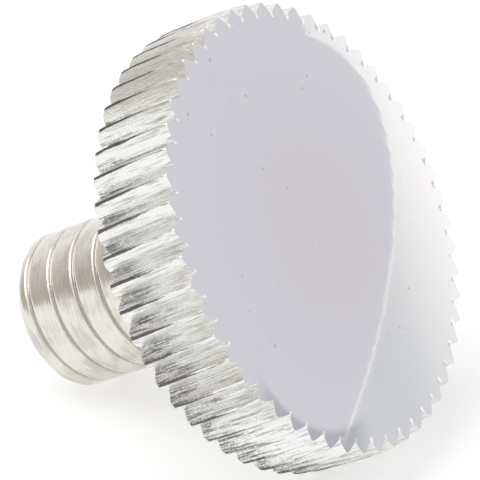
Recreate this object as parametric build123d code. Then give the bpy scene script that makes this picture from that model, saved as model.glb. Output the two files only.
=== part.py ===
"""Knurled thumb screw, turned from one bar of steel: a wide knurled head on a short threaded stub.

The screw is drawn with its axis along Z, the stub's end at z = 0 and the head's face on top.
It is then laid down on its side, as it comes to rest on a table: the lower back edge of the
head and the lower edge of the stub's end touch the table, so the face looks up at a slant.
All lengths are in millimetres and all angles in degrees.
"""

from build123d import *
import math
import os

# Head: a flat disc with a polished, slightly crowned face
head_diameter = 11.8
head_thickness = 2.42
face_crown = 0.04
face_edge_chamfer = 0.07
back_chamfer = 0.08
back_taper = 15
back_taper_depth = 0.05

# Knurl: saw-like teeth that lean a little from the axis, with crests as shares of the pitch
knurl_pitch = 0.69
knurl_depth = 0.26
knurl_lean = 3.0
knurl_flank_bulge = 0.035
crest_begins = 0.34
crest_ends = 0.44

# Threaded stub
thread_diameter = 4.17
thread_pitch = 0.794
stub_length = 6.35
end_chamfer = 0.31

# Thread groove: narrow, with broad flat crests between its turns
groove_width = 0.20
groove_floor_width = 0.06
groove_depth = 0.15

# Where the groove crosses the edge of the end's chamfer, counted round from the side that touches the table
groove_at_corner = 105

# Plain collar under the head, where the groove stops
collar_length = 0.60

# How far a cutting shape stands clear of the surface that it cuts
cutter_clearance = 0.15

head_radius = head_diameter / 2
thread_radius = thread_diameter / 2
root_radius = head_radius - knurl_depth
back_corner_radius = head_radius - back_taper_depth
screw_length = stub_length + head_thickness

tooth_count = round(math.pi * head_diameter / knurl_pitch)
tooth_angle = 360 / tooth_count
crest_middle = (crest_begins + crest_ends) / 2
twist_per_mm = math.degrees(math.tan(math.radians(knurl_lean)) / head_radius)


def polar(radius, angle):
    """Return the point at this radius and angle in the XY plane."""
    bearing = math.radians(angle)
    return (radius * math.cos(bearing), radius * math.sin(bearing))


def head_blank():
    """Turn the head before it is knurled: crowned face, small front chamfer, eased back edge.

    The rim stands a little outside the crests, so that only the knurl's teeth give its width.
    The back edge is a chamfer and then a slight taper, which runs out past the crests.
    """
    face_edge = screw_length - face_crown
    face_rim = head_radius - face_edge_chamfer
    crown_radius = (face_rim**2 + face_crown**2) / (2 * face_crown)
    rim = head_radius + cutter_clearance
    chamfer_end = (back_corner_radius, stub_length + back_chamfer)
    taper_end = (rim, chamfer_end[1] + (rim - back_corner_radius) / math.tan(math.radians(back_taper)))
    with BuildPart() as blank:
        with BuildSketch(Plane.XZ):
            with BuildLine():
                Polyline(
                    (0, screw_length),
                    (0, stub_length),
                    (back_corner_radius - back_chamfer, stub_length),
                    chamfer_end,
                    taper_end,
                    (rim, face_edge - (rim - face_rim)),
                    (face_rim, face_edge),
                )
                RadiusArc((face_rim, face_edge), (0, screw_length), -crown_radius)
            make_face()
        revolve(axis=Axis.Z)
    return blank.part


def knurl_bar():
    """Twist the toothed section into a bar that is a little longer than the head is thick.

    Two crests lie as far from the X axis as each other where the head touches the table.
    """
    bar_start = stub_length - cutter_clearance
    bar_length = head_thickness + 2 * cutter_clearance
    contact_height = stub_length + back_chamfer - bar_start
    first_root = -(0.5 + crest_middle) * tooth_angle - twist_per_mm * contact_height
    flank_middle = (crest_ends + 1) / 2
    flank_radius = (head_radius + root_radius) / 2 + knurl_flank_bulge
    with BuildSketch(Plane.XY.offset(bar_start)) as section:
        with BuildLine():
            for tooth in range(tooth_count):
                root = first_root + tooth * tooth_angle
                crest_from = polar(head_radius, root + crest_begins * tooth_angle)
                crest_to = polar(head_radius, root + crest_ends * tooth_angle)
                flank = polar(flank_radius, root + flank_middle * tooth_angle)
                next_root = polar(root_radius, root + tooth_angle)
                Line(polar(root_radius, root), crest_from)
                Line(crest_from, crest_to)
                ThreePointArc(crest_to, flank, next_root)
        make_face()
    return Solid.extrude_linear_with_rotation(
        section.sketch.faces()[0],
        center=(0, 0, bar_start),
        normal=(0, 0, bar_length),
        angle=twist_per_mm * bar_length,
    )


def turned(*outline):
    """Revolve a closed outline of straight lines, given as (radius, height), about the axis."""
    with BuildPart() as shape:
        with BuildSketch(Plane.XZ):
            with BuildLine():
                Polyline(*outline, close=True)
            make_face()
        revolve(axis=Axis.Z)
    return shape.part


def thread_groove():
    """Close four helical ribbons, the groove's two flanks, floor and mouth, into one cutter.

    It starts a pitch below the stub's end, where the chamfer is cut later, and ends at the collar.
    """
    start = -thread_pitch
    rise = stub_length - collar_length - start
    flare = cutter_clearance * (groove_width - groove_floor_width) / (2 * groove_depth)
    mouth_radius = thread_radius + cutter_clearance
    mouth = groove_width / 2 + flare
    floor_radius = thread_radius - groove_depth
    floor = groove_floor_width / 2
    corners = ((mouth_radius, -mouth), (mouth_radius, mouth), (floor_radius, floor), (floor_radius, -floor))
    edges = [Helix(thread_pitch, rise, radius, center=(0, 0, start + lift)) for radius, lift in corners]
    neighbours = list(zip(edges, edges[1:] + edges[:1]))
    ribbons = [Face.make_surface_from_curves(edge, neighbour) for edge, neighbour in neighbours]
    ends = [
        Face(Wire([Line(edge @ end, neighbour @ end) for edge, neighbour in neighbours]))
        for end in (0, 1)
    ]
    turn_to_corner = 360 * (end_chamfer - start) / thread_pitch
    return Solid(Shell(ribbons + ends)).rotate(Axis.Z, groove_at_corner - turn_to_corner)


def threaded_stub():
    """Cut the thread's groove in a bar that runs past both ends, then chamfer the stub's end."""
    below = -2 * thread_pitch
    inside_head = stub_length + head_thickness / 2
    bar = turned((0, below), (thread_radius, below), (thread_radius, inside_head), (0, inside_head))
    end_cut = turned(
        (0, 0),
        (thread_radius - end_chamfer, 0),
        (thread_radius + cutter_clearance, end_chamfer + cutter_clearance),
        (thread_radius + cutter_clearance, below - cutter_clearance),
        (0, below - cutter_clearance),
    )
    return bar - thread_groove() - end_cut


def resting_slant():
    """Return how far the axis rises from the table when the screw lies on its side.

    The table touches the corner where the stub's chamfer starts, and the corner between the
    head's back chamfer and its taper, at two neighbouring teeth.
    """
    along = stub_length + back_chamfer - end_chamfer
    across = back_corner_radius * math.cos(math.radians(tooth_angle / 2)) - thread_radius
    return math.degrees(math.atan2(across, along))


def lie_down(screw):
    """Tip the screw over onto the table, with the middle of its box above the origin."""
    tipped = screw.rotate(Axis.Y, 90 - resting_slant())
    box = tipped.bounding_box()
    middle = box.center()
    return tipped.translate((-middle.X, -middle.Y, -box.min.Z))


def make_screw():
    """Knurl the head, cut the thread on the stub and join the two as one solid."""
    head = head_blank() & knurl_bar()
    return lie_down(head + threaded_stub())


os.makedirs("parts", exist_ok=True)
export_step(make_screw(), "parts/thumb_screw.step")
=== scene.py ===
"""Studio scene of a knurled thumb screw that lies on its side on a pale table.

The screw is one piece of nickel-plated steel: a flat head with a polished, slightly crowned
face and a saw-tooth knurl round its rim, on a short stub with a shallow, narrow thread groove.
It is modelled upright in its own frame, with the stub's end at the origin and the axis along Z,
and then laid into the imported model's frame. Lengths are in metres and angles in degrees.
"""

import logging
import math
from collections.abc import Sequence
from dataclasses import dataclass, field
from enum import Enum

import bmesh
import bpy
from bmesh.types import BMEdge, BMesh, BMFace, BMVert
from mathutils import Matrix, Vector, noise

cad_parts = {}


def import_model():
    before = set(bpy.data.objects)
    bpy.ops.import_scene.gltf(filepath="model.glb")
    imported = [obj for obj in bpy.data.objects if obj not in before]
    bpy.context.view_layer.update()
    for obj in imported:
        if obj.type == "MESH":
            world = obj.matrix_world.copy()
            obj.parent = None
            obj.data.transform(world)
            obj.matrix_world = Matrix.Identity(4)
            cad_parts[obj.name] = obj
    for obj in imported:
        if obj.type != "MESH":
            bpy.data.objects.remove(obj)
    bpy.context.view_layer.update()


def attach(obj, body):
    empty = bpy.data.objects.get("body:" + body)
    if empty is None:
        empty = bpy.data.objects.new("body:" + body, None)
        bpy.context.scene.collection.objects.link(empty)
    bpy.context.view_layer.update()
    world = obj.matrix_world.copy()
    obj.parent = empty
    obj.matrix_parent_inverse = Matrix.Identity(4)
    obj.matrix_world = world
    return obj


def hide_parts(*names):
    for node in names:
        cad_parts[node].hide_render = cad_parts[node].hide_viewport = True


MM = 0.001

logging.basicConfig(level=logging.INFO, format="%(levelname)s %(message)s")
log = logging.getLogger("thumb_screw")

Colour = tuple[float, float, float]
Point = tuple[float, float, float]
Span = tuple[float, float]
Material = bpy.types.Material
World = bpy.types.World
Socket = bpy.types.NodeSocket
Source = Socket | float | Point


class Slot(Enum):
    """The record's material slots."""

    PLATED_STEEL = "plated_steel"


class Surface(Enum):
    """The screw's differently finished surfaces, valued by their place among its materials."""

    FACE = 0
    KNURL = 1
    THREAD = 2
    TURNED = 3


def smooth_step(low: float, high: float, value: float) -> float:
    """Return 0 below low, 1 above high and an eased value between them."""
    share = min(max((value - low) / (high - low), 0.0), 1.0)
    return share * share * (3.0 - 2.0 * share)


def link_to_scene(obj: bpy.types.Object) -> bpy.types.Object:
    """Put an object in the scene's collection and return it."""
    bpy.context.scene.collection.objects.link(obj)
    return obj


def mesh_object(name: str, shape: BMesh, materials: list[Material]) -> bpy.types.Object:
    """Turn a bmesh into an object in the scene, with these materials, and free the bmesh.

    Args:
        name: The name of the object and its mesh.
        shape: The bmesh.
        materials: The materials, in the order that the faces number them in.

    Returns:
        The object.
    """
    mesh = bpy.data.meshes.new(name)
    shape.to_mesh(mesh)
    shape.free()
    for material in materials:
        mesh.materials.append(material)
    return link_to_scene(bpy.data.objects.new(name, mesh))


# Nodes


@dataclass
class NodeBench:
    """Places and joins the nodes of one material or world.

    Attributes:
        owner: The material or world whose node tree is being built.
    """

    owner: Material | World

    def __post_init__(self) -> None:
        """Clear the owner's node tree."""
        self.owner.use_nodes = True
        self.tree = self.owner.node_tree
        self.tree.nodes.clear()

    def add(self, kind: str, **settings: object) -> bpy.types.Node:
        """Add a node with these properties, or input values where a name is an input's.

        Args:
            kind: The node's type name.
            **settings: Its values. An input's name is in lower case, with underscores.

        Returns:
            The new node.
        """
        node = self.tree.nodes.new(kind)
        inputs = {each.name.lower().replace(" ", "_"): each for each in reversed(node.inputs)}
        for name, value in settings.items():
            if name in inputs:
                inputs[name].default_value = value
            else:
                setattr(node, name, value)
        return node

    def join(self, source: Source, target: Socket) -> None:
        """Link an output to an input, or set the input to a number, a point or a colour."""
        if isinstance(source, Socket):
            self.tree.links.new(source, target)
        else:
            target.default_value = (*source, 1.0) if target.type == "RGBA" else source

    def noise(self, vector: Socket, scale: float, detail: float = 2.0) -> Socket:
        """Return the value of a noise texture of this scale on a vector."""
        texture = self.add("ShaderNodeTexNoise", scale=scale, detail=detail)
        self.join(vector, texture.inputs["Vector"])
        return texture.outputs["Fac"]

    def band(
        self, value: Socket, low: float, high: float, start: float = 0.0, end: float = 1.0
    ) -> Socket:
        """Map a value smoothly from one range to another.

        Args:
            value: The socket to map.
            low: The input that gives start.
            high: The input that gives end.
            start: The output at low and below.
            end: The output at high and above.

        Returns:
            The mapped value's socket.
        """
        ranges = self.add(
            "ShaderNodeMapRange", interpolation_type="SMOOTHSTEP",
            from_min=low, from_max=high, to_min=start, to_max=end,
        )
        self.join(value, ranges.inputs["Value"])
        return ranges.outputs["Result"]

    def calculate(self, operation: str, first: Socket, second: Source) -> Socket:
        """Return the result of a maths operation on a socket and a socket or number."""
        maths = self.add("ShaderNodeMath", operation=operation)
        self.join(first, maths.inputs[0])
        self.join(second, maths.inputs[1])
        return maths.outputs["Value"]

    def add_share(self, base: Socket, value: Socket, share: Source) -> Socket:
        """Return a base value plus a share of another value."""
        return self.calculate("ADD", base, self.calculate("MULTIPLY", value, share))

    def blend(self, factor: Socket, first: Source, second: Colour) -> Socket:
        """Return a colour that goes from the first to the second as the factor goes to 1."""
        mix = self.add("ShaderNodeMix", data_type="RGBA")
        under, over = [socket for socket in mix.inputs if socket.type == "RGBA"]
        self.join(factor, mix.inputs["Factor"])
        self.join(first, under)
        self.join(second, over)
        return next(socket for socket in mix.outputs if socket.type == "RGBA")

    def distance(self, vector: Socket, point: Point) -> Socket:
        """Return how far a vector is from a point."""
        apart = self.add("ShaderNodeVectorMath", operation="DISTANCE")
        self.join(vector, apart.inputs[0])
        self.join(point, apart.inputs[1])
        return apart.outputs["Value"]

    def mapped(self, vector: Socket, **settings: object) -> Socket:
        """Return a vector as seen from a frame with this location, rotation and scale."""
        mapping = self.add("ShaderNodeMapping", vector_type="TEXTURE", **settings)
        self.join(vector, mapping.inputs["Vector"])
        return mapping.outputs["Vector"]

    def attribute(self, name: str, output: str = "Fac") -> Socket:
        """Return a mesh attribute's value, or another of its outputs."""
        return self.add("ShaderNodeAttribute", attribute_name=name).outputs[output]

    def seen(self) -> Socket:
        """Return 1 for the rays of the camera, of reflections and through clear things, else 0."""
        rays = self.add("ShaderNodeLightPath").outputs
        seen = self.calculate("MAXIMUM", rays["Is Camera Ray"], rays["Is Glossy Ray"])
        return self.calculate("MAXIMUM", seen, rays["Is Transmission Ray"])

    def bump(self, height: Socket, strength: float, distance: float) -> Socket:
        """Return the normal of a surface with this relief."""
        relief = self.add("ShaderNodeBump", strength=strength, distance=distance)
        self.join(height, relief.inputs["Height"])
        return relief.outputs["Normal"]

    def metal(
        self, colour: Socket, roughness: Source, normal: Socket | None = None
    ) -> Material:
        """Finish the material as bare metal and return it."""
        shader = self.add("ShaderNodeBsdfPrincipled", metallic=1.0)
        self.join(colour, shader.inputs["Base Color"])
        self.join(roughness, shader.inputs["Roughness"])
        if normal is not None:
            self.join(normal, shader.inputs["Normal"])
        return self.finish(shader.outputs["BSDF"])

    def finish(
        self, shader: Socket, output: str = "ShaderNodeOutputMaterial"
    ) -> Material | World:
        """Send a shader to the owner's surface and return the owner."""
        self.join(shader, self.add(output).inputs["Surface"])
        return self.owner


# Where the screw lies


@dataclass(frozen=True)
class LyingFrame:
    """The screw's own frame as it lies on the table.

    Attributes:
        slant: How far the axis rises from the table.
        end_x: Where the middle of the stub's end is along the row's X axis.
        end_z: How high the middle of the stub's end is.
    """

    slant: float = 31.5324
    end_x: float = -4.7808 * MM
    end_z: float = 1.6208 * MM

    @property
    def tip(self) -> float:
        """The turn about Y that lays the upright screw down, in radians."""
        return math.radians(90.0 - self.slant)

    @property
    def origin(self) -> Vector:
        """The middle of the stub's end in the row's frame."""
        return Vector((self.end_x, 0.0, self.end_z))

    def to_row(self) -> Matrix:
        """Return the transform from the screw's own frame to the row's frame."""
        return Matrix.Translation(self.origin) @ Matrix.Rotation(self.tip, 4, "Y")

    def own_coordinates(self, bench: NodeBench, stretch: float = 1.0) -> bpy.types.NodeSocket:
        """Give a material the screw's own coordinates.

        Args:
            bench: The material's nodes.
            stretch: How many times longer a pattern gets along the axis.

        Returns:
            The coordinates, with Z along the screw's axis.
        """
        return bench.mapped(
            bench.add("ShaderNodeTexCoord").outputs["Object"],
            location=self.origin, rotation=(0.0, self.tip, 0.0), scale=(1.0, 1.0, stretch),
        )


# Finishes


@dataclass(frozen=True)
class PolishedFace:
    """Bright nickel, polished flat, with a few tiny pits, hairline scratches and a crescent of
    painted shade.

    Attributes:
        nickel: The plate's own colour near the edge.
        middle: Its slightly warmer colour in the middle of the face.
        middle_reach: How far from the axis the middle's colour begins to fade, and ends.
        crescent_shade: The colour of the painted shade in a crescent by the lower edge.
        bright_middle: The middle of the circle inside which no shade is painted.
        bright_radius: That circle's radius.
        bright_edge: How soft the circle's edge is.
        crescent_middle: The middle of the crescent.
        crescent_reach: How far from its middle the crescent begins to fade, and ends.
        pit: The colour at the bottom of a pit.
        gloss: The roughness between the pits, and in one.
        pit_spacing: The usual distance between two pits.
        pit_edge: Where a pit's edge begins and ends, as shares of that distance.
        patch_scale: How many patches with marks there are in a metre.
        pitted: Between which values of the patches pits appear.
        scratched: Between which values of the patches scratches appear.
        scratch_spacing: The usual distance between two scratches.
        scratch: A scratch's width in its noise, and its strength next to a pit's.
    """

    nickel: Colour = (0.80, 0.79, 0.77)
    middle: Colour = (0.765, 0.740, 0.712)
    middle_reach: Span = (1.0 * MM, 4.8 * MM)
    # Painted shade: the darker colour of the crescent by the face's lower edge.
    crescent_shade: Colour = (0.55, 0.55, 0.54)
    bright_middle: Point = (1.81 * MM, -2.11 * MM, 8.75 * MM)
    bright_radius: float = 2.62 * MM
    bright_edge: float = 0.25 * MM
    crescent_middle: Point = (4.00 * MM, -3.85 * MM, 8.73 * MM)
    crescent_reach: Span = (1.3 * MM, 2.5 * MM)
    pit: Colour = (0.50, 0.48, 0.48)
    gloss: Span = (0.02, 0.30)
    pit_spacing: float = 0.50 * MM
    pit_edge: Span = (0.06, 0.12)
    patch_scale: float = 0.35 / MM
    pitted: Span = (0.46, 0.60)
    scratched: Span = (0.56, 0.66)
    scratch_spacing: float = 0.9 * MM
    scratch: Span = (0.004, 0.35)

    def marks(self, bench: NodeBench, own: Socket) -> Socket:
        """Return how strongly a pit or a scratch marks each place, from 0 to 1."""
        cells = bench.add("ShaderNodeTexVoronoi", scale=1.0 / self.pit_spacing, randomness=1.0)
        bench.join(own, cells.inputs["Vector"])
        patches = bench.noise(own, self.patch_scale)
        pits = bench.calculate(
            "MULTIPLY",
            bench.band(cells.outputs["Distance"], *self.pit_edge, 1.0, 0.0),
            bench.band(patches, *self.pitted),
        )
        width, strength = self.scratch
        hairs = bench.noise(own, 1.0 / self.scratch_spacing, 3.0)
        hairline = bench.calculate("ABSOLUTE", bench.calculate("SUBTRACT", hairs, 0.5), 0.0)
        scratches = bench.calculate(
            "MULTIPLY",
            bench.band(hairline, 0.0, width, 1.0, 0.0),
            bench.band(patches, *self.scratched),
        )
        return bench.calculate("MAXIMUM", pits, bench.calculate("MULTIPLY", scratches, strength))

    def plate(self, bench: NodeBench, own: Socket) -> Socket:
        """Return the unmarked plate's colour, with the crescent of painted shade."""
        from_axis = bench.distance(own, (0.0, 0.0, self.bright_middle[2]))
        nickel = bench.blend(bench.band(from_axis, *self.middle_reach), self.middle, self.nickel)
        from_bright = bench.distance(own, self.bright_middle)
        from_crescent = bench.distance(own, self.crescent_middle)
        # Painted shade: a crescent by the lower edge, outside the circle round bright_middle.
        crescent = bench.calculate(
            "MULTIPLY",
            bench.band(from_bright, self.bright_radius, self.bright_radius + self.bright_edge),
            bench.band(from_crescent, *self.crescent_reach, 1.0, 0.0),
        )
        return bench.blend(crescent, nickel, self.crescent_shade)

    def dress(self, lying: LyingFrame) -> Material:
        """Build the material, which follows the screw as it lies.

        Args:
            lying: Where the screw's own frame lies.

        Returns:
            The finished material.
        """
        bench = NodeBench(bpy.data.materials.new("polished_nickel_face"))
        own = lying.own_coordinates(bench)
        marks = self.marks(bench, own)
        return bench.metal(
            bench.blend(marks, self.plate(bench, own), self.pit),
            bench.band(marks, 0.0, 1.0, *self.gloss),
        )


@dataclass(frozen=True)
class WornPlate:
    """Nickel plate with duller parts, and painted shade where the mesh marks the grooves.

    Attributes:
        nickel: The plate's own colour.
        dulled: The colour of its duller parts.
        dulled_from: Between which values of its wear the plate turns duller.
        dark: The colour of the painted shade.
        dark_from: Between which levels the painted shade sets in.
        grain: The usual size of the grains that break up the painted shade.
        shares: How much the fine and the coarse pattern count when they are mixed.
        weight: How much the grains count in the level.
        gloss_from: Between which values of its pattern the roughness changes.
        gloss: The roughness at those two values.
        bump: How strong the relief is, and how high.
    """

    nickel: Colour
    dulled: Colour
    dulled_from: Span
    dark: Colour
    dark_from: Span
    grain: float
    shares: Span
    weight: float
    gloss_from: Span
    gloss: Span
    bump: Span

    def mixed(self, bench: NodeBench, fine: Socket, coarse: Socket) -> Socket:
        """Return the mix of a fine and a coarse pattern."""
        return bench.add_share(
            bench.calculate("MULTIPLY", fine, self.shares[0]), coarse, self.shares[1]
        )

    def metal(
        self, bench: NodeBench, wear: Socket, level: Socket, pattern: Socket, relief: Socket
    ) -> Material:
        """Finish the material from its patterns.

        Args:
            bench: The material's nodes.
            wear: Where the plate is duller.
            level: Where shade is painted.
            pattern: What the roughness follows.
            relief: What the bump follows.

        Returns:
            The finished material.
        """
        plate = bench.blend(bench.band(wear, *self.dulled_from), self.nickel, self.dulled)
        # Painted shade: the plate turns to the dark colour where the level is high.
        return bench.metal(
            bench.blend(bench.band(level, *self.dark_from), plate, self.dark),
            bench.band(pattern, *self.gloss_from, *self.gloss),
            bench.bump(relief, *self.bump),
        )


@dataclass(frozen=True)
class KnurledRim(WornPlate):
    """Plated knurl: bright streaked flanks, with painted shade low in each groove and towards the
    back.

    Attributes:
        streak_width: The usual width of a streak along a tooth.
        stretch: How many times longer than wide a streak is.
        grain_stretch: How many times longer than wide a grain is.
    """

    nickel: Colour = (0.90, 0.895, 0.875)
    dulled: Colour = (0.63, 0.625, 0.60)
    dulled_from: Span = (0.50, 0.66)
    # Painted shade: the colour laid low in each groove and towards the back edge.
    dark: Colour = (0.13, 0.125, 0.115)
    dark_from: Span = (0.92, 1.42)
    grain: float = 0.045 * MM
    shares: Span = (0.62, 0.38)
    weight: float = 1.5
    gloss_from: Span = (0.35, 0.65)
    gloss: Span = (0.20, 0.40)
    bump: Span = (0.85, 0.018 * MM)
    streak_width: float = 0.055 * MM
    stretch: float = 14.0
    grain_stretch: float = 1.6

    def dress(self, lying: LyingFrame) -> Material:
        """Build the material, whose streaks follow the leaning teeth.

        Args:
            lying: Where the screw's own frame lies.

        Returns:
            The finished material.
        """
        bench = NodeBench(bpy.data.materials.new("plated_knurl"))
        place = bench.attribute(KnurledHead.place_layer, "Vector")
        along_tooth = bench.mapped(place, scale=(1.0, 1.0, self.stretch))
        streaks = bench.noise(along_tooth, 1.0 / self.streak_width, 3.0)
        grains = bench.noise(lying.own_coordinates(bench, self.grain_stretch), 1.0 / self.grain)
        mixed = self.mixed(bench, streaks, grains)
        # The level of painted shade: the mesh's shade mask, broken up by streaks and grains.
        level = bench.add_share(bench.attribute(KnurledHead.dark_layer), mixed, self.weight)
        return self.metal(bench, streaks, level, mixed, mixed)


@dataclass(frozen=True)
class ThreadedPlate(WornPlate):
    """Warm nickel on the stub: crests with fine tool lines, and painted shade, broken by grains,
    in the groove.

    Attributes:
        patch: The usual size of a duller patch.
        line: The usual width of a tool line round the stub.
        slimness: A line's width as a share of its length.
    """

    nickel: Colour = (0.80, 0.775, 0.70)
    dulled: Colour = (0.64, 0.61, 0.56)
    dulled_from: Span = (0.44, 0.62)
    # Painted shade: the colour in the thread's groove.
    dark: Colour = (0.45, 0.425, 0.365)
    dark_from: Span = (0.70, 1.25)
    grain: float = 0.05 * MM
    shares: Span = (0.45, 0.55)
    weight: float = 0.9
    gloss_from: Span = (0.35, 0.70)
    gloss: Span = (0.13, 0.24)
    bump: Span = (0.45, 0.008 * MM)
    patch: float = 0.6 * MM
    line: float = 0.05 * MM
    slimness: float = 0.08

    def dress(self, lying: LyingFrame) -> Material:
        """Build the material, whose tool lines run round the stub.

        Args:
            lying: Where the screw's own frame lies.

        Returns:
            The finished material.
        """
        bench = NodeBench(bpy.data.materials.new("plated_thread"))
        own = lying.own_coordinates(bench)
        patches = bench.noise(own, 1.0 / self.patch, 3.0)
        grains = bench.noise(own, 1.0 / self.grain)
        flattened = lying.own_coordinates(bench, self.slimness)
        lines = bench.noise(flattened, self.slimness / self.line, 3.0)
        groove = bench.attribute(ThreadedStub.groove_layer)
        # The level of painted shade: the groove's depth, broken up by grains.
        level = bench.add_share(groove, grains, self.weight)
        relief = bench.add_share(lines, grains, groove)
        return self.metal(bench, self.mixed(bench, lines, patches), level, patches, relief)


@dataclass(frozen=True)
class TurnedPlate:
    """Plated turned surface under the head and on the stub's end, with fine rings from the tool.

    Attributes:
        nickel: The plate's own colour.
        valley: The colour between two rings.
        ring_width: About how wide a ring is, and the valley beside it.
        wobble: How uneven the rings are.
        gloss: The roughness.
        bump: How strong the relief is, and how high.
    """

    nickel: Colour = (0.78, 0.77, 0.74)
    valley: Colour = (0.60, 0.59, 0.56)
    ring_width: float = 0.09 * MM
    wobble: float = 0.6
    gloss: float = 0.28
    bump: Span = (0.25, 0.008 * MM)

    def dress(self, lying: LyingFrame) -> Material:
        """Build the material, which follows the screw as it lies.

        Args:
            lying: Where the screw's own frame lies.

        Returns:
            The finished material.
        """
        bench = NodeBench(bpy.data.materials.new("plated_turned"))
        wave = bench.add(
            "ShaderNodeTexWave", wave_type="RINGS", rings_direction="Z",
            scale=0.16 / self.ring_width, distortion=self.wobble,
        )
        bench.join(lying.own_coordinates(bench), wave.inputs["Vector"])
        rings = wave.outputs["Fac"]
        return bench.metal(
            bench.blend(rings, self.nickel, self.valley), self.gloss, bench.bump(rings, *self.bump)
        )


# Mesh helpers


def loop_edges(ring: list[BMVert]) -> list[BMEdge]:
    """Return the edges that join a ring's vertices to each other."""
    members = set(ring)
    edges = (edge for vert in ring for edge in vert.link_edges)
    return list(dict.fromkeys(edge for edge in edges if members.issuperset(edge.verts)))


def faces_of(verts: list[BMVert]) -> list[BMFace]:
    """Return the faces that touch any of these vertices."""
    return list(dict.fromkeys(face for vert in verts for face in vert.link_faces))


def edges_of(faces: list[BMFace]) -> list[BMEdge]:
    """Return the edges of these faces."""
    return list(dict.fromkeys(edge for face in faces for edge in face.edges))


def added_verts(mesh: BMesh, others: set[BMVert]) -> list[BMVert]:
    """Return the mesh's vertices that aren't among the others."""
    return [vert for vert in mesh.verts if vert not in others]


def dress_faces(faces: list[BMFace], surface: Surface) -> None:
    """Give faces their surface's material and smooth shading."""
    for face in faces:
        face.material_index = surface.value
        face.smooth = True


def sharpen(edges: list[BMEdge]) -> None:
    """Let the shading break at these edges."""
    for edge in edges:
        edge.smooth = False


def set_radius(vert: BMVert, radius: float) -> None:
    """Move a vertex to this distance from the axis."""
    flat = vert.co.to_2d()
    flat.length = radius
    vert.co.x, vert.co.y = flat


@dataclass
class Lathe:
    """Builds rings of one bmesh outwards, inwards and along the axis.

    Attributes:
        mesh: The bmesh that is being built.
    """

    mesh: BMesh

    def start_ring(self, columns: int, radius: float, height: float) -> list[BMVert]:
        """Start a shape with a ring of vertices round the axis."""
        ring = bmesh.ops.create_circle(self.mesh, segments=columns, radius=radius)["verts"]
        bmesh.ops.translate(self.mesh, verts=ring, vec=(0.0, 0.0, height))
        return ring

    def next_ring(self, ring: list[BMVert]) -> tuple[list[BMVert], list[BMFace]]:
        """Extrude a ring and return the new one, in the old one's order, and the faces between."""
        made = bmesh.ops.extrude_edge_only(self.mesh, edges=loop_edges(ring))["geom"]
        faces = [part for part in made if isinstance(part, BMFace)]
        fresh = {part for part in made if isinstance(part, BMVert)}
        neighbours = ([edge.other_vert(vert) for edge in vert.link_edges] for vert in ring)
        return [next(vert for vert in near if vert in fresh) for near in neighbours], faces

    def carry_in(
        self, ring: list[BMVert], radii: Sequence[float], heights: list[float], surface: Surface
    ) -> list[BMVert]:
        """Carry a face inwards in rings.

        Args:
            ring: The ring that the face begins at.
            radii: The new rings' radii.
            heights: Their heights along the axis.
            surface: The face's finish.

        Returns:
            The last ring.
        """
        for radius, height in zip(radii, heights):
            ring, faces = self.next_ring(ring)
            dress_faces(faces, surface)
            for vert in ring:
                set_radius(vert, radius)
                vert.co.z = height
        return ring

    def close(self, ring: list[BMVert], surface: Surface) -> None:
        """Close a ring with triangles that meet at a pole in its middle."""
        pole_ring, faces = self.next_ring(ring)
        middle = sum((vert.co for vert in pole_ring), Vector()) / len(pole_ring)
        bmesh.ops.pointmerge(self.mesh, verts=pole_ring, merge_co=middle)
        dress_faces([face for face in faces if face.is_valid], surface)


# The screw


@dataclass(frozen=True)
class KnurlShadeAndTear:
    """Where shade is painted on the knurl, as shares of the pitch and of the thickness.

    Attributes:
        fades: Where along the axis the shade begins to thin out towards the face, and ends.
        steep_flank: Where it ends behind the steep flank.
        long_flank: Where it begins low on the long flank.
        crest_line: The width of the line behind a crest at the face, and what the back adds.
        on_flanks: How dark the flanks are at the face, and what the back adds.
        on_crests: How dark that line is at the face, and what the back adds.
    """

    fades: Span = (0.10, 0.85)
    steep_flank: Span = (0.44, 0.49)
    long_flank: Span = (0.70, 0.92)
    crest_line: Span = (0.03, 0.07)
    on_flanks: Span = (0.07, 0.33)
    on_crests: Span = (0.32, 0.32)

    def darkness(self, share: float, height: float, crest_ends: float) -> float:
        """Work out how much shade is painted at one place, which also scales the tear there.

        Args:
            share: Where the place is on the tooth, as a share of the pitch.
            height: Its height above the underside, as a share of the thickness.
            crest_ends: Where the tooth's crest ends, as a share of the pitch.

        Returns:
            The darkness, from 0 to 1.
        """
        at_back = 1.0 - smooth_step(*self.fades, height)
        if share > 0.5:
            flank = smooth_step(*self.long_flank, share)
        else:
            flank = 1.0 - smooth_step(*self.steep_flank, share)
        width, flanks, crests = (
            face + more * at_back
            for face, more in (self.crest_line, self.on_flanks, self.on_crests)
        )
        line = max(0.0, 1.0 - abs(share - crest_ends) / width)
        return min(flank * flanks + line * crests, 1.0)


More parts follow.
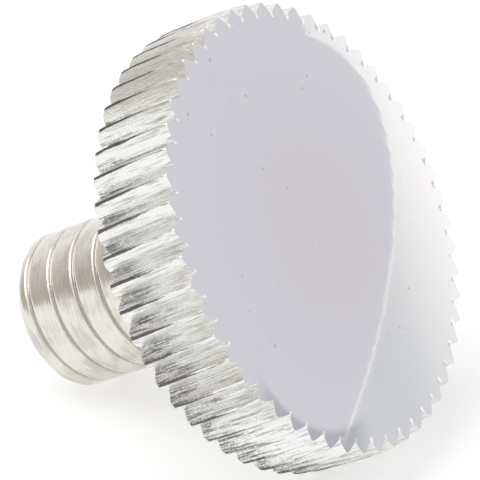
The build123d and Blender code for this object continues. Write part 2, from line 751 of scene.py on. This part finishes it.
@dataclass
class KnurledHead:
    """The flat head: a saw-tooth knurl, a crowned face and a flat underside.

    Attributes:
        radius: The crests' radius.
        thickness: From the underside to the top of the face.
        seat_height: Where the underside is along the axis.
        teeth: How many teeth the knurl has.
        depth: How deep the knurl is.
        lean: How far a tooth leans from the axis.
        crest_begins: Where the crest begins, as a share of the pitch.
        crest_ends: Where it ends, as a share of the pitch.
        flank_bulge: How far the long flank bulges.
        crown: How much higher the face is in its middle.
        face_chamfer: The chamfer at the face's edge.
        face_ease: How much lower the crests get towards the face.
        face_ease_from: Where that begins, as a share of the thickness.
        back_chamfer: The chamfer at the back edge.
        back_taper: How far the back edge tapers in before the chamfer.
        taper_length: How long that taper is.
        back_ease: How much shallower both crest and groove get at the back edge.
        back_ease_to: Where that ends, as a share of the thickness.
        contact_height: Where the head touches the table, above the underside.
        burr: The tallest burr at a groove's corner on the face.
        burr_range: The least burr and the spread above it, as shares of the tallest.
        burr_curl: How much of a burr rises over the face, and how much leans in over it.
        burr_weights: How strong it is at the places beside the groove's bottom.
        tear: How deep the tear in the metal goes.
        tear_grain: How fine the tear is, and how much less so along the axis.
        shade_and_tear: Where shade is painted on the knurl, which also sets where the metal tears.
        rows: How many rows the back chamfer, the taper, the rim and the face's chamfer have.
        face_rings: How many rings the face has.
        ring_shares: The first ring's radius and the step to the next, as shares of the face's.
        underside_radii: The radii of the underside's rings.
        shares: Where a tooth's outline has its points, as shares of the pitch.
    """

    dark_layer = "torn_metal"
    place_layer = "place_on_tooth"

    radius: float = 5.9 * MM
    thickness: float = 2.42 * MM
    seat_height: float = 6.35 * MM
    teeth: int = 54
    depth: float = 0.32 * MM
    lean: float = 3.0
    crest_begins: float = 0.385
    crest_ends: float = 0.435
    flank_bulge: float = 0.01 * MM
    crown: float = 0.04 * MM
    face_chamfer: float = 0.02 * MM
    face_ease: float = 0.045 * MM
    face_ease_from: float = 0.80
    back_chamfer: float = 0.08 * MM
    back_taper: float = 0.05 * MM
    taper_length: float = 0.187 * MM
    back_ease: float = 0.03 * MM
    back_ease_to: float = 0.30
    contact_height: float = 0.08 * MM
    burr: float = 0.035 * MM
    burr_range: Span = (0.15, 1.36)
    burr_curl: Span = (0.4, 0.5)
    burr_weights: tuple[tuple[int, float], ...] = (
        (-2, 0.35), (-1, 0.85), (0, 1.0), (1, 0.85), (2, 0.45),
    )
    tear: float = 0.016 * MM
    tear_grain: Span = (60.0, 0.35)
    shade_and_tear: KnurlShadeAndTear = KnurlShadeAndTear()
    rows: tuple[int, int, int, int] = (5, 3, 20, 2)
    face_rings: int = 18
    ring_shares: Span = (0.935, 0.052)
    underside_radii: tuple[float, ...] = (4.4 * MM, 3.2 * MM, 2.35 * MM, 2.15 * MM)
    shares: tuple[float, ...] = (
        0.0, 0.03, 0.08, 0.15, 0.22, 0.29, 0.34, 0.385, 0.41, 0.435,
        0.465, 0.50, 0.54, 0.60, 0.68, 0.76, 0.84, 0.91, 0.96, 0.985,
    )

    @property
    def pitch_angle(self) -> float:
        """The angle from tooth to tooth, in radians."""
        return math.tau / self.teeth

    @property
    def face_radius(self) -> float:
        """The radius where the face's chamfer begins."""
        return self.radius - self.face_ease - self.face_chamfer

    @property
    def face_edge(self) -> float:
        """The height of the face's edge above the underside."""
        return self.thickness - self.crown

    def tooth_radius(self, share: float) -> float:
        """Return the knurl's radius at a share of the pitch, counted from a groove's bottom."""
        root = self.radius - self.depth
        if share < self.crest_begins:
            return root + self.depth * share / self.crest_begins
        if share <= self.crest_ends:
            return self.radius
        down = (share - self.crest_ends) / (1.0 - self.crest_ends)
        return self.radius - self.depth * down + 4.0 * self.flank_bulge * down * (1.0 - down)

    def limit(self, height: float) -> float:
        """Return the turned blank's radius at this height above the underside."""
        if height < self.back_chamfer:
            return self.radius - self.back_taper - self.back_chamfer + height
        if height < self.back_chamfer + self.taper_length:
            tapered = (height - self.back_chamfer) / self.taper_length
            return self.radius - self.back_taper * (1.0 - tapered)
        return min(self.radius, self.face_radius + (self.face_edge - height))

    def face_height(self, radius: float) -> float:
        """Return the crowned face's height along the axis at this radius."""
        return self.seat_height + self.thickness - self.crown * (radius / self.face_radius) ** 2

    def row_heights(self) -> list[float]:
        """Return the heights of the rim's rows above the underside, closer near both edges."""
        chamfer, taper, rim, front = (range(1, rows + 1) for rows in self.rows)
        heights = [0.0] + [self.back_chamfer * part / len(chamfer) for part in chamfer]
        heights += [self.back_chamfer + self.taper_length * part / len(taper) for part in taper]
        first, last = heights[-1], self.face_edge - self.face_chamfer
        heights += [first + (last - first) * part / len(rim) for part in rim]
        return heights + [last + self.face_chamfer * part / len(front) for part in front]

    def shape_row(self, mesh: BMesh, ring: list[BMVert], height: float) -> None:
        """Cut one row of the knurl, tear its metal and mark where shade is painted.

        Args:
            mesh: The screw's bmesh.
            ring: The row's vertices, from the first column on.
            height: The row's height above the underside.
        """
        dark = mesh.verts.layers.float[self.dark_layer]
        place = mesh.verts.layers.float_vector[self.place_layer]
        lean = math.radians(self.lean)
        turn = -(height - self.contact_height) * math.tan(lean) / self.radius
        crest_middle = (self.crest_begins + self.crest_ends) / 2.0
        up = height / self.thickness
        ease = self.back_ease * (1.0 - smooth_step(0.0, self.back_ease_to, up)) ** 2
        ease += self.face_ease * smooth_step(self.face_ease_from, 1.0, up)
        grain, along_axis = self.tear_grain
        along = height / self.radius * along_axis
        for index, vert in enumerate(ring):
            tooth, part = divmod(index, len(self.shares))
            share = self.shares[part]
            bearing = (tooth - 0.5 - crest_middle + share) * self.pitch_angle + turn
            round_x, round_y = math.cos(bearing), math.sin(bearing)
            tear = 0.5 + noise.noise(Vector((round_x, round_y, along)) * grain)
            # Painted shade: darker low in each groove, behind each crest and towards the back
            # edge; the tear deepens with it.
            darkness = self.shade_and_tear.darkness(share, up, self.crest_ends)
            radius = self.tooth_radius(share) - ease - self.tear * tear * darkness
            radius = min(radius, self.limit(height))
            vert.co = Vector((radius * round_x, radius * round_y, self.seat_height + height))
            around = (tooth + share) * self.pitch_angle * self.radius
            vert[dark] = darkness
            vert[place] = Vector((around, vert.co.to_2d().length, height))

    def raise_burrs(self, ring: list[BMVert]) -> None:
        """Curl a small burr up at each groove's corner on the face."""
        least, spread = self.burr_range
        lift, pull = self.burr_curl
        for tooth in range(self.teeth):
            chance = abs(noise.noise(Vector((tooth * 1.7, 3.1, 0.4))))
            height = self.burr * (least + spread * chance)
            for part, weight in self.burr_weights:
                vert = ring[(tooth * len(self.shares) + part) % len(ring)]
                vert.co.z += lift * min(height, self.burr) * weight
                set_radius(vert, vert.co.to_2d().length - pull * height * weight)

    def build(self, mesh: BMesh) -> None:
        """Build the head's surface, which stays open where the stub joins the underside.

        Args:
            mesh: The screw's bmesh.
        """
        lathe = Lathe(mesh)
        columns = self.teeth * len(self.shares)
        ring = back_ring = lathe.start_ring(columns, self.limit(0.0), self.seat_height)
        rim_faces: list[BMFace] = []
        for height in self.row_heights():
            if height > 0.0:
                ring, faces = lathe.next_ring(ring)
                rim_faces += faces
            self.shape_row(mesh, ring, height)
        dress_faces(rim_faces, Surface.KNURL)
        for vert in ring:
            vert.co.z = self.face_height(vert.co.to_2d().length)
        self.raise_burrs(ring)
        sharpen(loop_edges(ring) + loop_edges(back_ring))
        first, step = self.ring_shares
        radii = [(first - step * index) * self.face_radius for index in range(self.face_rings)]
        heights = [self.face_height(radius) for radius in radii]
        lathe.close(lathe.carry_in(ring, radii, heights, Surface.FACE), Surface.FACE)
        flat = [self.seat_height] * len(self.underside_radii)
        lathe.carry_in(back_ring, self.underside_radii, flat, Surface.TURNED)


@dataclass
class ThreadedStub:
    """The stub: broad flat crests between the turns of a narrow groove, and a chamfered end.

    Attributes:
        radius: The crests' radius.
        pitch: The thread's pitch.
        length: From the stub's end to the head's underside.
        chamfer: The chamfer at the end.
        groove_width: The groove's width at its mouth.
        groove_floor: The groove's width at its floor.
        groove_depth: How deep the groove is.
        groove_at_corner: Where the groove crosses the chamfer's edge, counted round from below.
        collar: The plain length under the head.
        runout: The length over which the groove runs out before the collar.
        burr: How deep the crest is dented beside the groove.
        columns: How many steps one turn of the thread takes.
        crest_points: How many points the outline of a crest has between its edges.
        fillet: How far below the head the sloping joint with it begins.
        end_rings: The radii of the rings on the flat end, as shares of the end's.
        weld: How near to each other two vertices are that become one.
    """

    groove_layer = "thread_groove"

    radius: float = 2.085 * MM
    pitch: float = 0.794 * MM
    length: float = 6.35 * MM
    chamfer: float = 0.31 * MM
    groove_width: float = 0.15 * MM
    groove_floor: float = 0.05 * MM
    groove_depth: float = 0.09 * MM
    groove_at_corner: float = 105.0
    collar: float = 0.60 * MM
    runout: float = 0.15 * MM
    burr: float = 0.012 * MM
    columns: int = 96
    crest_points: int = 11
    fillet: float = 0.06 * MM
    end_rings: tuple[float, ...] = (0.94, 0.60, 0.25)
    weld: float = 0.002 * MM

    def pitch_profile(self) -> list[tuple[float, float]]:
        """Return one pitch's outline as (depth, height), from a groove's middle to the next."""
        mouth, floor = self.groove_width / 2.0, self.groove_floor / 2.0
        bend = (self.groove_depth * 0.45, mouth * 0.62)
        rise = [(self.groove_depth, 0.0), (self.groove_depth, floor), bend]
        rise += [(self.burr, mouth), (0.0, mouth * 1.25)]
        crest, parts = self.pitch - 2.0 * mouth, range(1, self.crest_points + 1)
        top = [(0.0, mouth + crest * part / (self.crest_points + 1)) for part in parts]
        return rise + top + [(depth, self.pitch - height) for depth, height in reversed(rise)]

    def sweep(self, mesh: BMesh) -> None:
        """Sweep one pitch's outline up one turn of the helix, and repeat the turn."""
        others = set(mesh.verts)
        base = self.chamfer - 2.0 * self.pitch
        outline = [
            mesh.verts.new((self.radius - depth, 0.0, base + height))
            for depth, height in self.pitch_profile()
        ]
        edges = [mesh.edges.new(pair) for pair in zip(outline, outline[1:])]
        corner = Matrix.Rotation(math.radians(self.groove_at_corner), 3, "Z")
        bmesh.ops.rotate(mesh, verts=outline, cent=(0.0, 0.0, 0.0), matrix=corner)
        bmesh.ops.spin(
            mesh, geom=outline + edges, cent=(0.0, 0.0, 0.0), axis=(0.0, 0.0, 1.0),
            dvec=(0.0, 0.0, self.pitch / self.columns), angle=math.tau, steps=self.columns,
        )
        verts = added_verts(mesh, others)
        faces = faces_of(verts)
        turn = verts + edges_of(faces) + faces
        for number in range(1, math.ceil(self.length / self.pitch) + 2):
            copies = bmesh.ops.duplicate(mesh, geom=turn)["geom"]
            moved = [part for part in copies if isinstance(part, BMVert)]
            bmesh.ops.translate(mesh, verts=moved, vec=(0.0, 0.0, number * self.pitch))
        bmesh.ops.remove_doubles(mesh, verts=added_verts(mesh, others), dist=self.weld)

    def trim(self, mesh: BMesh, swept: list[BMVert], height: float, above: bool) -> None:
        """Cut the swept thread square and drop what lies beyond the cut.

        Args:
            mesh: The screw's bmesh.
            swept: The thread's vertices.
            height: Where the cut is along the axis.
            above: Whether what lies above the cut goes, or what lies below it.
        """
        faces = faces_of(swept)
        bmesh.ops.bisect_plane(
            mesh, geom=swept + edges_of(faces) + faces, plane_co=(0.0, 0.0, height),
            plane_no=(0.0, 0.0, 1.0), clear_outer=above, clear_inner=not above,
        )

    def turn_down(self, verts: list[BMVert]) -> None:
        """Chamfer the end and let the groove run out at the collar."""
        collar_begins = self.length - self.collar
        for vert in verts:
            radius, height = vert.co.to_2d().length, vert.co.z
            runout = smooth_step(collar_begins - self.runout, collar_begins, height)
            radius += (self.radius - radius) * runout
            set_radius(vert, min(radius, self.radius - self.chamfer + height))

    def build(self, mesh: BMesh) -> None:
        """Build the stub and join it to the head.

        Args:
            mesh: The screw's bmesh, which holds the head.
        """
        others = set(mesh.verts)
        dark = mesh.verts.layers.float[self.groove_layer]
        self.sweep(mesh)
        for height, above in ((self.length - self.fillet, True), (0.0, False)):
            self.trim(mesh, added_verts(mesh, others), height, above)
        verts = added_verts(mesh, others)
        for vert in verts:
            depth = self.radius - vert.co.to_2d().length
            # How deep a vertex lies in the groove, where the material paints shade and adds
            # relief.
            vert[dark] = smooth_step(0.0, 0.9, depth / self.groove_depth)
        self.turn_down(verts)
        dress_faces(faces_of(verts), Surface.THREAD)
        rims = [edge for edge in mesh.edges if len(edge.link_faces) == 1]
        near_head, near_end = self.length - 2.0 * self.fillet, 0.5 * self.chamfer
        top = [edge for edge in rims if min(vert.co.z for vert in edge.verts) > near_head]
        end = [edge for edge in rims if max(vert.co.z for vert in edge.verts) < near_end]
        dress_faces(bmesh.ops.bridge_loops(mesh, edges=top)["faces"], Surface.TURNED)
        sharpen(end)
        lathe = Lathe(mesh)
        ring = list(dict.fromkeys(vert for edge in end for vert in edge.verts))
        radii = [share * (self.radius - self.chamfer) for share in self.end_rings]
        ring = lathe.carry_in(ring, radii, [0.0] * len(radii), Surface.TURNED)
        lathe.close(ring, Surface.TURNED)


@dataclass
class ThumbScrew:
    """The whole screw, one closed surface that stands for its CAD node.

    Attributes:
        head: The knurled head.
        stub: The threaded stub.
        lying: Where the screw's own frame lies.
        node: The CAD node that it stands for.
        body: The body that it rides on.
    """

    head: KnurledHead = field(default_factory=KnurledHead)
    stub: ThreadedStub = field(default_factory=ThreadedStub)
    lying: LyingFrame = field(default_factory=LyingFrame)
    node: str = "thumb_screw"
    body: str = "root"

    def finishes(self) -> list[Material]:
        """Return the surfaces' materials, in the surfaces' order."""
        plates = (PolishedFace(), KnurledRim(), ThreadedPlate(), TurnedPlate())
        return [plate.dress(self.lying) for plate in plates]

    def build(self) -> bpy.types.Object:
        """Build, dress and place the screw.

        Returns:
            The screw's object.
        """
        shape = bmesh.new()
        shape.verts.layers.float.new(KnurledHead.dark_layer)
        shape.verts.layers.float_vector.new(KnurledHead.place_layer)
        shape.verts.layers.float.new(ThreadedStub.groove_layer)
        self.head.build(shape)
        self.stub.build(shape)
        bmesh.ops.recalc_face_normals(shape, faces=shape.faces)
        bmesh.ops.transform(shape, matrix=self.lying.to_row(), verts=shape.verts)
        open_edges = sum(1 for edge in shape.edges if not edge.is_manifold)
        screw = mesh_object("nickel_thumb_screw", shape, self.finishes())
        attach(screw, self.body)
        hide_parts(self.node)
        faces = len(screw.data.polygons)
        log.info("%s: %d faces, %d open edges", screw.name, faces, open_edges)
        return screw


# The studio

LAVENDER: Colour = (0.771, 0.771, 0.855)


@dataclass
class PaleTable:
    """The white table that the screw lies on, which keeps the screw's soft shadow.

    Attributes:
        size: The table's side.
        paint: Its colour under the lamps.
        glow: The white that the camera and the metal see added to it.
    """

    size: float = 12.0
    paint: Colour = (0.82, 0.82, 0.82)
    glow: float = 0.50

    def build(self) -> None:
        """Build the table."""
        shape = bmesh.new()
        bmesh.ops.create_grid(shape, x_segments=1, y_segments=1, size=self.size / 2.0)
        table = mesh_object("pale_table", shape, [self.dress()])
        log.info("%s: %.0f m square", table.name, self.size)

    def dress(self) -> Material:
        """Return matt white paint, lifted to white where the camera or the metal looks at it."""
        bench = NodeBench(bpy.data.materials.new("pale_table"))
        paint = bench.add("ShaderNodeBsdfDiffuse", color=(*self.paint, 1.0))
        glow = bench.add("ShaderNodeEmission")
        bench.join(bench.calculate("MULTIPLY", bench.seen(), self.glow), glow.inputs["Strength"])
        both = bench.add("ShaderNodeAddShader")
        bench.join(paint.outputs["BSDF"], both.inputs[0])
        bench.join(glow.outputs["Emission"], both.inputs[1])
        return bench.finish(both.outputs["Shader"])


@dataclass
class ReflectorCard:
    """A round card that only shows as a reflection in the metal.

    Attributes:
        name: The card's name.
        azimuth: Its bearing from the screw, counter-clockwise from the row's X axis.
        elevation: How high it stands over the table.
        spread: Its half width as seen from the screw, in degrees.
        low: Its colour, or its colour where the fade begins.
        high: Its colour where the fade ends, if it has a fade.
        distance: How far off it stands.
        flatness: Its height as a share of its width.
        fade: Where the fade begins and ends, as shares of its radius along the diagonal.
        diagonal: Which way the colour changes, in degrees from the horizontal.
    """

    name: str
    azimuth: float
    elevation: float
    spread: float
    low: Colour
    high: Colour | None = None
    distance: float = 2.0
    flatness: float = 1.0
    fade: Span = (-1.0, 1.0)
    diagonal: float = 0.0

    def build(self) -> None:
        """Build the card, facing the screw."""
        bearing, height = math.radians(self.azimuth), math.radians(self.elevation)
        level = math.cos(height)
        outwards = Vector((level * math.cos(bearing), level * math.sin(bearing), math.sin(height)))
        shape = bmesh.new()
        radius = self.distance * math.tan(math.radians(self.spread))
        bmesh.ops.create_circle(shape, cap_ends=True, segments=256, radius=radius)
        bmesh.ops.scale(shape, vec=(1.0, self.flatness, 1.0), verts=shape.verts)
        card = mesh_object(self.name, shape, [self.dress(radius)])
        card.location = outwards * self.distance
        card.rotation_euler = outwards.to_track_quat("-Z", "Y").to_euler()
        card.visible_camera = False
        card.visible_diffuse = False
        card.visible_shadow = False
        log.info("%s: %.2f m across, %.1f m away", card.name, 2.0 * radius, self.distance)

    def dress(self, radius: float) -> Material:
        """Build a glowing finish, with the card's fade if it has one.

        Args:
            radius: The card's radius.

        Returns:
            The finished material.
        """
        bench = NodeBench(bpy.data.materials.new(self.name))
        turned = bench.mapped(
            bench.add("ShaderNodeTexCoord").outputs["Object"],
            rotation=(0.0, 0.0, math.radians(self.diagonal)),
        )
        parts = bench.add("ShaderNodeSeparateXYZ")
        bench.join(turned, parts.inputs["Vector"])
        share = bench.band(parts.outputs["X"], self.fade[0] * radius, self.fade[1] * radius)
        glow = bench.add("ShaderNodeEmission", strength=1.0)
        bench.join(bench.blend(share, self.low, self.high or self.low), glow.inputs["Color"])
        return bench.finish(glow.outputs["Emission"])


@dataclass
class SoftLamp:
    """A large square lamp that gives soft light.

    Attributes:
        name: The lamp's name.
        place: Where it hangs, in metres from the screw.
        side: How wide it is.
        power: Its power in watts.
    """

    name: str
    place: Point
    side: float
    power: float

    def build(self) -> None:
        """Hang the lamp, facing the screw."""
        light = bpy.data.lights.new(self.name, "AREA")
        light.shape = "SQUARE"
        light.size = self.side
        light.energy = self.power
        lamp = link_to_scene(bpy.data.objects.new(self.name, light))
        lamp.location = self.place
        lamp.rotation_euler = Vector(self.place).to_track_quat("Z", "Y").to_euler()
        log.info("%s: %.2f W", self.name, self.power)


@dataclass
class StudioAir:
    """The studio's even surrounding light.

    Attributes:
        white: What the camera, the metal's reflections and clear things see.
        fill: The strength of the light that it throws on matt things.
    """

    white: float = 1.0
    fill: float = 0.40

    def build(self) -> None:
        """Build the world and make it the scene's."""
        bench = NodeBench(bpy.data.worlds.new("studio_air"))
        air = bench.add("ShaderNodeBackground", color=(1.0, 1.0, 1.0, 1.0))
        strength = bench.band(bench.seen(), 0.0, 1.0, self.fill, self.white)
        bench.join(strength, air.inputs["Strength"])
        world = bench.finish(air.outputs["Background"], "ShaderNodeOutputWorld")
        bpy.context.scene.world = world


@dataclass
class PhotoCamera:
    """The camera at the photograph's angle: in front, to the right and above.

    Attributes:
        aim: The point in the middle of the picture.
        azimuth: How far to the right of the row's -Y side it stands.
        elevation: How high it looks down from.
        distance: How far from the aim it stands.
        roll: How far it is turned about its own line of sight.
        lens: Its focal length in millimetres.
        sensor: Its sensor's width in millimetres.
    """

    aim: Point = (1.0021 * MM, -1.1152 * MM, 5.7879 * MM)
    azimuth: float = 28.286
    elevation: float = 26.196
    distance: float = 83.350 * MM
    roll: float = 2.494
    lens: float = 249.64
    sensor: float = 36.0

    def build(self) -> None:
        """Set up the camera and make it the scene's."""
        data = bpy.data.cameras.new("photo_camera")
        data.lens = self.lens
        data.sensor_width = self.sensor
        data.clip_start = 0.001
        data.clip_end = 100.0
        camera = link_to_scene(bpy.data.objects.new("photo_camera", data))
        side, up = math.radians(self.azimuth), math.radians(self.elevation)
        level = math.cos(up)
        back = Vector((level * math.sin(side), -level * math.cos(side), math.sin(up)))
        camera.location = Vector(self.aim) + back * self.distance
        roll = Matrix.Rotation(math.radians(self.roll), 3, "Z")
        camera.rotation_euler = (back.to_track_quat("Z", "Y").to_matrix() @ roll).to_euler()
        bpy.context.scene.camera = camera


@dataclass
class Studio:
    """The table, the lamps, the cards and the camera round the screw."""

    table: PaleTable = field(default_factory=PaleTable)
    air: StudioAir = field(default_factory=StudioAir)
    camera: PhotoCamera = field(default_factory=PhotoCamera)
    lamps: tuple[SoftLamp, ...] = (SoftLamp("overhead_lamp", (-0.15, -0.10, 0.40), 0.40, 0.7),)
    cards: tuple[ReflectorCard, ...] = (
        ReflectorCard("lavender_card", 45.01, 11.185, 13.014, LAVENDER, flatness=0.4053),
        ReflectorCard("lavender_top", 50.9, 15.5, 7.6, LAVENDER),
        ReflectorCard(
            "bright_edge", 45.01, 11.185, 13.075, (1.10, 1.10, 1.11), (1.15, 1.15, 1.16),
            distance=2.01, flatness=0.4075, diagonal=90.0,
        ),
        ReflectorCard(
            "graded_card", 56.0, 7.5, 8.0, (0.755, 0.785, 0.835), (1.25, 1.24, 1.25),
            distance=2.2, fade=(-0.274, 0.301), diagonal=205.0,
        ),
        ReflectorCard(
            "beige_card", -165.0, 35.0, 50.0, (0.53, 0.51, 0.47), (1.0, 0.98, 0.98),
            fade=(-0.39, 0.84),
        ),
    )

    def build(self) -> None:
        """Set the studio up."""
        self.table.build()
        self.air.build()
        self.camera.build()
        for equipment in (*self.lamps, *self.cards):
            equipment.build()
        bpy.context.scene.view_settings.view_transform = "Standard"


def main() -> None:
    """Build the screw and its studio."""
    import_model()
    screw = ThumbScrew().build()
    log.info("built %s", screw.name)
    Studio().build()


if __name__ == "__main__":
    main()
